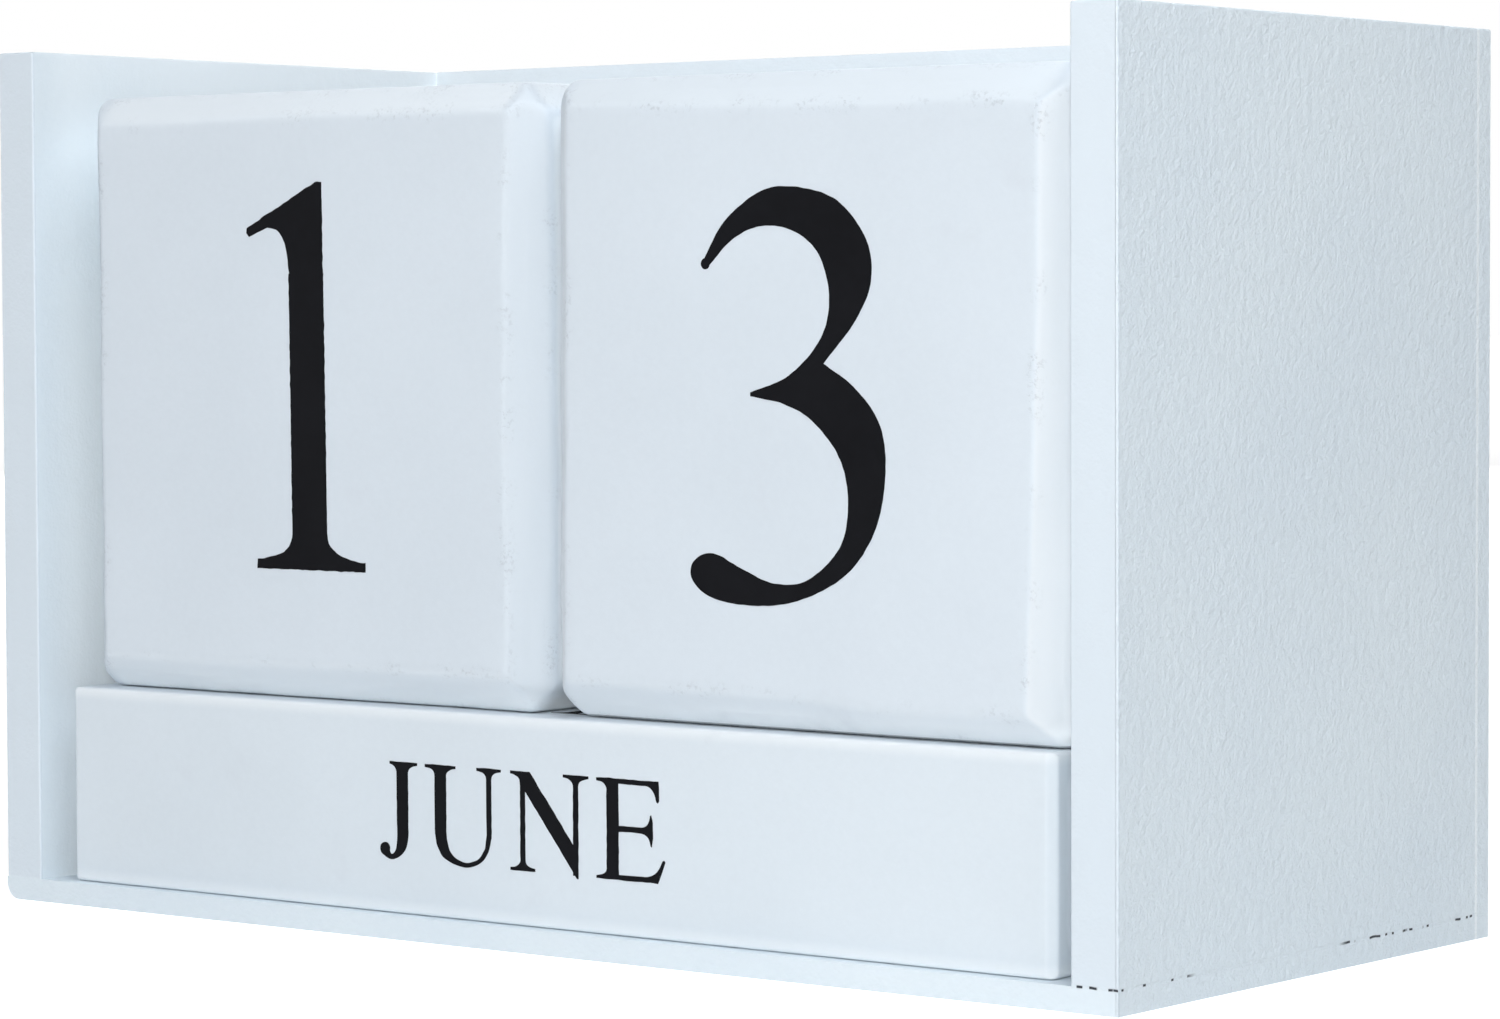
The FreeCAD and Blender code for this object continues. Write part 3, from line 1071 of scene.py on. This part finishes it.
# Each bar's seed, and the months on its front, top, back and bottom
BARS = {
    "front": (2.1, ("JUNE", "JULY", "AUGUST", "MAY")),
    "middle": (2.8, ("JANUARY", "FEBRUARY", "MARCH", "APRIL")),
    "rear": (3.5, ("SEPTEMBER", "OCTOBER", "NOVEMBER", "DECEMBER")),
}

boards = tray_paint()
for node in ("base_board", "left_side_panel", "right_side_panel", "back_panel"):
    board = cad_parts[node]
    board.data.materials.clear()
    board.data.materials.append(boards)

ink = printing_ink()
block_tree = sanded_block_tree()

for side, row in CUBES.items():
    node, body = side + "_number_cube", side + "_cube"
    tones = {**CUBE_TONES, **row["tones"]}
    paint = block_paint(side + "_cube_paint", tones, CUBE_END_LIGHT, row["foot_shadow"])
    settings = {**CUBE_SHAPE, "Seed": row["seed"]}
    cube = sanded_block(side + "_cube_block", node, row["flats"], block_tree, settings, paint)
    dress(cube, body, node)
    name = side + "_cube_numerals"
    dress(inked_numerals(name, node, row["numerals"], ink, row["nudges"], row["stray"]), body)

bar_paint = block_paint("bar_paint", BAR_TONES, BAR_END_LIGHT, 0.0)
for side, (seed, months) in BARS.items():
    node, body = "month_bar_" + side, side + "_bar"
    settings = {**BAR_SHAPE, "Seed": seed}
    bar = sanded_block(side + "_bar_block", node, bar_flats, block_tree, settings, bar_paint)
    dress(bar, body, node)
    dress(inked_months(side + "_bar_months", node, months, ink), body)

# --------------------------------------------------------------------- stage

FLOOR_REACH = 6.0                       # m from the middle to each edge
FLOOR_WHITE = (0.8, 0.8, 0.8, 1)
NEAR_LIMITS = (0.15, 0.7)               # m from the middle: the floor brightens over these two
FAR_LIMITS = (0.9, 1.8)
WORLD_LIGHT = 0.05                      # the surroundings' strength as light

# Each square lamp's name, place in m, side in m, power in W and tint. All face one point.
LAMP_AIM = (0, 0, 0.045)
LAMPS = [
    ("low_softbox", (0.37, -0.55, 0.12), 0.15, 1.97, (1, 0.975, 0.94)),
    ("upper_softbox", (0.25, -0.1, 0.5), 0.3, 1.41, (0.93, 0.96, 1)),
    ("front_softbox", (0.2, -0.5, 0.8), 0.4, 0.7, (1, 1, 1)),
    ("left_softbox", (-0.6, -0.8, 0.6), 0.8, 2.18, (0.92, 0.94, 1)),
    ("rear_softbox", (-0.7, 0.9, 0.5), 0.9, 9.0, (1, 1, 1)),
]

CAMERA_PLACE = Vector((321.0793, -405.2411, 67.6958)) * MM
CAMERA_TURN = (38.0266, 2.5816, -0.2258)    # degrees to the left, down, and around its axis
CAMERA_LENS, SENSOR = 114.43, 36            # mm


def seen_or_mirrored(nodes):
    """1 for what is looked at, directly or in a reflection, and 0 for light on other things."""
    path = nodes.make("ShaderNodeLightPath", {}, {})
    seen = Value(nodes, path.outputs["Is Camera Ray"])
    for other in ("Is Glossy Ray", "Is Transmission Ray"):
        seen = seen.at_least(Value(nodes, path.outputs[other]))
    return seen


def stage_floor():
    """A wide white table top that the camera sees as white, with the shadow kept. It also glows
    faintly, though it is no lamp, as light on the blocks from below.
    """
    mesh = bpy.data.meshes.new("floor")
    corners = [(-1, -1, 0), (1, -1, 0), (1, 1, 0), (-1, 1, 0)]
    mesh.from_pydata([Vector(corner) * FLOOR_REACH for corner in corners], [], [(0, 1, 2, 3)])
    floor = bpy.data.objects.new("floor", mesh)
    bpy.context.scene.collection.objects.link(floor)
    material, nodes, place = new_material("floor_white")
    diffuse = nodes.node("ShaderNodeBsdfDiffuse", {}, {"Color": FLOOR_WHITE})
    away = nodes.node("ShaderNodeVectorMath", {"operation": "LENGTH"}, {0: place}, "Value")
    white = 0.45 + 0.2 * away.between(*NEAR_LIMITS) + 0.25 * away.between(*FAR_LIMITS)
    # 0.1 is the floor's own glow, light on the blocks from below
    strength = 0.1 + seen_or_mirrored(nodes) * white
    glow = nodes.node("ShaderNodeEmission", {}, {"Color": (1, 1, 1, 1), "Strength": strength})
    both = nodes.node("ShaderNodeAddShader", {}, {0: diffuse, 1: glow})
    nodes.make("ShaderNodeOutputMaterial", {}, {"Surface": both})
    mesh.materials.append(material)


def stage_world():
    """White surroundings: full white where they are seen or mirrored, dimmer as light."""
    world = bpy.data.worlds.new("studio")
    world.use_nodes = True
    bpy.context.scene.world = world
    nodes = Tree(world.node_tree)
    seen = seen_or_mirrored(nodes)
    level = {"Color": (1, 1, 1, 1), "Strength": seen + (1 - seen) * WORLD_LIGHT}
    light = nodes.node("ShaderNodeBackground", {}, level)
    nodes.make("ShaderNodeOutputWorld", {}, {"Surface": light})


def softbox(name, place, side, power, tint):
    """A soft square lamp."""
    data = bpy.data.lights.new(name, "AREA")
    data.shape = "SQUARE"
    data.size = side
    data.energy = power
    data.color = tint
    lamp = bpy.data.objects.new(name, data)
    lamp.location = place
    lamp.rotation_euler = (Vector(LAMP_AIM) - Vector(place)).to_track_quat("-Z", "Y").to_euler()
    bpy.context.scene.collection.objects.link(lamp)


def studio_camera():
    """Set low and to the right of the calendar, close enough for its lines to converge."""
    yaw, pitch, roll = (math.radians(angle) for angle in CAMERA_TURN)
    forward = math.cos(pitch)
    ahead = Vector((-math.sin(yaw) * forward, math.cos(yaw) * forward, -math.sin(pitch)))
    level = Vector((math.cos(yaw), math.sin(yaw), 0))
    above = level.cross(ahead)
    right = level * math.cos(roll) + above * math.sin(roll)
    up = above * math.cos(roll) - level * math.sin(roll)
    data = bpy.data.cameras.new("camera")
    data.sensor_width = SENSOR
    data.lens = CAMERA_LENS
    data.clip_start = 0.01
    camera = bpy.data.objects.new("camera", data)
    turn = Matrix((right, up, -ahead)).transposed().to_4x4()
    camera.matrix_world = Matrix.Translation(CAMERA_PLACE) @ turn
    bpy.context.scene.collection.objects.link(camera)
    bpy.context.scene.camera = camera


stage_floor()
stage_world()
for lamp in LAMPS:
    softbox(*lamp)
studio_camera()
bpy.context.scene.view_settings.view_transform = "Standard"
